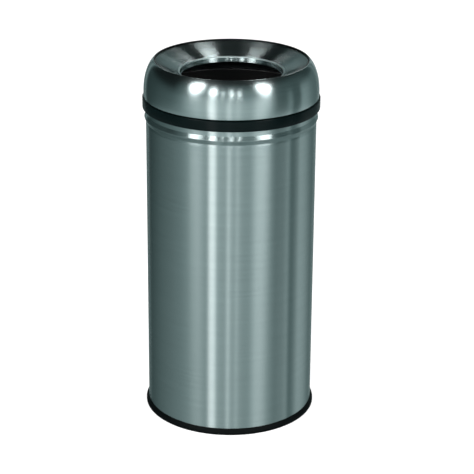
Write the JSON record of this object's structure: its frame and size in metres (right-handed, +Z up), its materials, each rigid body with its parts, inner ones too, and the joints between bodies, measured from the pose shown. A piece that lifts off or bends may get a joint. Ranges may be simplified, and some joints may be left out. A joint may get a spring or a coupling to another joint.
{
  "type": "flame-extinguishing waste bin",
  "caption": "Round upright waste bin: rolled steel body on a foot ring, lift-off domed head with a funnel mouth over a collar, and a lift-out liner with a bail handle.",
  "frame": {"origin": "on the floor, at the bin's vertical axis", "axes": "+Z up along the bin's axis; the bail lies to -Y and pivots about X"},
  "size_m": [0.312, 0.312, 0.6535],
  "materials": {
    "brushed_stainless": "stainless steel sheet brushed round the bin, with a cool grey tint",
    "galvanised_steel": "dull galvanised steel sheet with a fine spangle",
    "zinc_plated_steel": "bright zinc-plated wire, straps and rivets",
    "black_coated_steel": "black powder-coated steel sheet, satin",
    "black_rubber": "black moulded rubber, satin",
    "black_plastic": "black moulded plastic, satin"
  },
  "bodies": {
    "root": {"body_shell": "brushed_stainless", "base_plate": "galvanised_steel", "base_ring": "black_rubber"},
    "liner": {"liner_wall": "black_coated_steel", "liner_rim_wire": "zinc_plated_steel", "liner_bottom": "black_coated_steel", "liner_ear_left": "zinc_plated_steel", "liner_ear_right": "zinc_plated_steel", "ear_rivet_left_lower": "zinc_plated_steel", "ear_rivet_left_upper": "zinc_plated_steel", "ear_rivet_right_lower": "zinc_plated_steel", "ear_rivet_right_upper": "zinc_plated_steel"},
    "head": {"head_collar": "black_plastic", "head_dome": "brushed_stainless", "head_funnel": "brushed_stainless", "collar_rivet_1": "zinc_plated_steel", "collar_rivet_2": "zinc_plated_steel", "collar_rivet_3": "zinc_plated_steel", "collar_rivet_4": "zinc_plated_steel", "collar_rivet_5": "zinc_plated_steel", "collar_rivet_6": "zinc_plated_steel"},
    "bail": {"liner_bail": "zinc_plated_steel"}
  },
  "joints": [
    {"name": "liner_lift", "type": "slide", "parent": "root", "child": "liner", "axis": [0, 0, 1], "range_m": [0, 0.6]},
    {"name": "head_lift", "type": "slide", "parent": "liner", "child": "head", "axis": [0, 0, 1], "range_m": [0, 0.4]},
    {"name": "bail_swing", "type": "hinge", "parent": "liner", "child": "bail", "pos_m": [0, 0, 0.6001], "axis": [-1, 0, 0], "range_deg": [0, 180]}
  ],
  "couplings": [
    {"joint": "bail_swing", "follows": "head_lift", "rad_per_m": 7.85}
  ]
}
